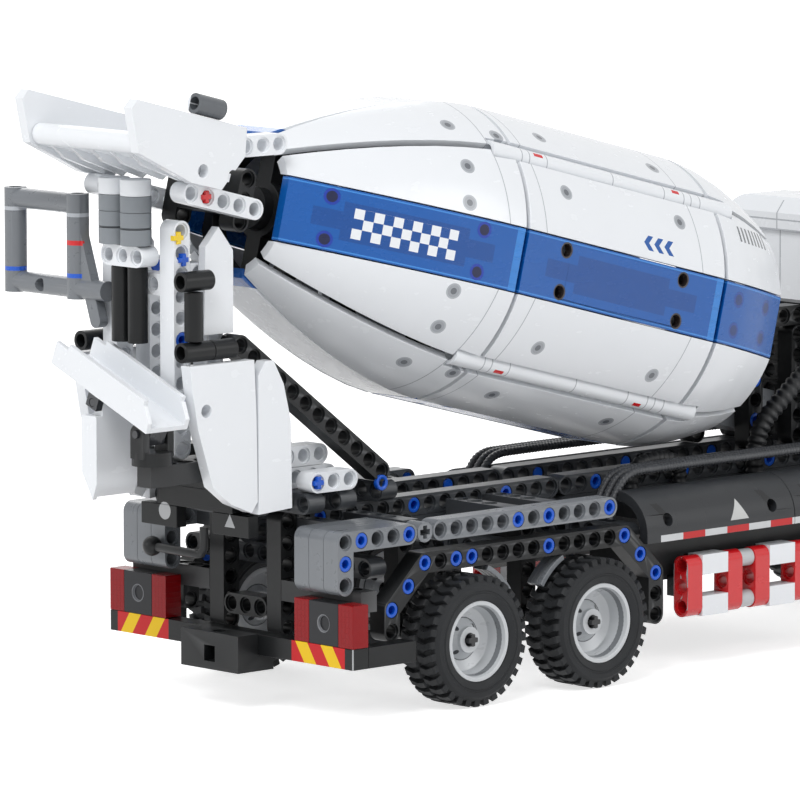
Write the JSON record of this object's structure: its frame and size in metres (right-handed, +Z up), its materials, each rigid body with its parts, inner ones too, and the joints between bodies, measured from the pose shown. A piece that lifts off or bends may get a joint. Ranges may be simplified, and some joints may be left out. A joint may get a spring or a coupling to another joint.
{
  "type": "toy cement mixer truck",
  "caption": "Toy cement mixer truck built from studless beams, with a turning tilted drum, a rear hopper, a swinging discharge chute, a steered front axle and opening doors.",
  "frame": {"origin": "on the ground under the middle of the truck's overall box", "axes": "+X forward towards the cab, +Y to the truck's left, +Z up"},
  "size_m": [0.516, 0.1382, 0.2334],
  "materials": {
    "black_plastic": "semi-gloss moulded ABS",
    "dark_grey_plastic": "semi-gloss moulded ABS",
    "grey_plastic": "semi-gloss moulded ABS",
    "white_plastic": "glossy moulded ABS",
    "blue_plastic": "glossy moulded ABS",
    "blue_pin": "glossy moulded ABS",
    "red_plastic": "glossy moulded ABS",
    "lamp_red": "translucent dark red lens",
    "silver_plastic": "metallic light grey ABS",
    "tyre_rubber": "soft matt rubber",
    "hose_rubber": "ribbed matt tube",
    "window": "clear tinted plastic"
  },
  "bodies": {
    "truck": {"main_rails": "dark_grey_plastic", "cross_beams": "dark_grey_plastic", "side_beams": "grey_plastic", "rear_corner_beams": "grey_plastic", "fender_beams": "black_plastic", "mudguard_strips": "grey_plastic", "axle_carriers": "black_plastic", "rear_frame": "black_plastic", "bumper": "black_plastic", "tail_lamps": "lamp_red", "tow_hitch": "black_plastic", "rear_plates": "black_plastic", "side_tanks": "black_plastic", "tank_panels": "black_plastic", "tank_hoses": "hose_rubber", "side_guards": "red_plastic", "tower_base": "black_plastic", "tower_frames": "white_plastic", "tower_fairings": "white_plastic", "tower_pipes": "black_plastic", "tower_braces": "black_plastic", "hopper_wings": "white_plastic", "hopper_floor": "white_plastic", "hopper_links": "white_plastic", "drum_bearing": "black_plastic", "ladder_rail": "grey_plastic", "chute_bracket": "black_plastic", "front_pedestal": "black_plastic", "drum_motor": "grey_plastic", "pedestal_hoses": "hose_rubber", "connector_pins": "blue_pin", "front_beam": "black_plastic", "cab_shell": "white_plastic", "cab_roof": "white_plastic", "cab_glass": "window", "cab_front": "dark_grey_plastic", "cab_interior": "dark_grey_plastic"},
    "drum": {"drum_core": "black_plastic", "drum_rear_panels": "white_plastic", "drum_mid_panels": "white_plastic", "drum_front_panels": "white_plastic", "drum_flat_panels": "blue_plastic", "drum_rods": "white_plastic", "drum_gear": "grey_plastic"},
    "pinion": {"motor_pinion": "grey_plastic"},
    "chute_base": {"chute_turret": "black_plastic"},
    "chute": {"chute_trough": "white_plastic"},
    "chute_tail": {"chute_extension": "white_plastic"},
    "rear_axle_front_pair": {"rear_axle_1": "silver_plastic", "rear_tyres_1": "tyre_rubber"},
    "rear_axle_rear_pair": {"rear_axle_2": "silver_plastic", "rear_tyres_2": "tyre_rubber"},
    "steer_left": {"knuckle_left": "dark_grey_plastic"},
    "steer_right": {"knuckle_right": "dark_grey_plastic"},
    "track_rod": {"tie_rod": "black_plastic"},
    "wheel_left": {"front_wheel_left": "silver_plastic"},
    "wheel_right": {"front_wheel_right": "silver_plastic"},
    "door_l": {"door_left": "white_plastic"},
    "door_r": {"door_right": "white_plastic"},
    "hand_wheel": {"steering_wheel": "black_plastic"}
  },
  "joints": [
    {"name": "drum_spin", "type": "hinge", "parent": "truck", "child": "drum", "pos_m": [-0.0556, 0, 0.15613], "axis": [0.9686, 0, -0.2487], "continuous": true},
    {"name": "pinion_spin", "type": "hinge", "parent": "truck", "child": "pinion", "pos_m": [0.05894, 0, 0.09559], "axis": [0.9686, 0, -0.2487], "continuous": true},
    {"name": "rear_axle_1_spin", "type": "hinge", "parent": "truck", "child": "rear_axle_front_pair", "pos_m": [-0.119, 0, 0.0248], "axis": [0, 1, 0], "continuous": true},
    {"name": "rear_axle_2_spin", "type": "hinge", "parent": "truck", "child": "rear_axle_rear_pair", "pos_m": [-0.055, 0, 0.0248], "axis": [0, 1, 0], "continuous": true},
    {"name": "steer_left_turn", "type": "hinge", "parent": "truck", "child": "steer_left", "pos_m": [0.193, 0.04, 0.0248], "axis": [0, 0, 1], "range_deg": [-20, 20]},
    {"name": "steer_right_turn", "type": "hinge", "parent": "truck", "child": "steer_right", "pos_m": [0.193, -0.04, 0.0248], "axis": [0, 0, 1], "range_deg": [-20, 20]},
    {"name": "track_rod_slide", "type": "slide", "parent": "truck", "child": "track_rod", "axis": [0, 1, 0], "range_m": [-0.007, 0.007]},
    {"name": "hand_wheel_turn", "type": "hinge", "parent": "truck", "child": "hand_wheel", "pos_m": [0.2316, 0.027, 0.1035], "axis": [0.866, 0, -0.5], "range_deg": [-80.5, 80.5]},
    {"name": "wheel_left_spin", "type": "hinge", "parent": "steer_left", "child": "wheel_left", "pos_m": [0.193, 0.059, 0.0248], "axis": [0, 1, 0], "continuous": true},
    {"name": "wheel_right_spin", "type": "hinge", "parent": "steer_right", "child": "wheel_right", "pos_m": [0.193, -0.059, 0.0248], "axis": [0, 1, 0], "continuous": true},
    {"name": "chute_swing", "type": "hinge", "parent": "truck", "child": "chute_base", "pos_m": [-0.2415, -0.024, 0.0981], "axis": [0, 0, 1], "range_deg": [0, 110]},
    {"name": "chute_tilt", "type": "hinge", "parent": "chute_base", "child": "chute", "pos_m": [-0.2415, -0.024, 0.11], "axis": [1, 0, 0], "range_deg": [-50, 0]},
    {"name": "chute_unfold", "type": "hinge", "parent": "chute", "child": "chute_tail", "pos_m": [-0.2415, -0.00212, 0.11992], "axis": [1, 0, 0], "range_deg": [0, 80]},
    {"name": "door_left_open", "type": "hinge", "parent": "truck", "child": "door_l", "pos_m": [0.2262, 0.0616, 0.116], "axis": [0, 0, -1], "range_deg": [0, 65]},
    {"name": "door_right_open", "type": "hinge", "parent": "truck", "child": "door_r", "pos_m": [0.2262, -0.0616, 0.116], "axis": [0, 0, 1], "range_deg": [0, 65]}
  ],
  "couplings": [
    {"joint": "pinion_spin", "follows": "drum_spin", "ratio": -2},
    {"joint": "steer_right_turn", "follows": "steer_left_turn", "ratio": 1},
    {"joint": "track_rod_slide", "follows": "steer_left_turn", "m_per_rad": -0.02},
    {"joint": "hand_wheel_turn", "follows": "steer_left_turn", "ratio": -4}
  ]
}
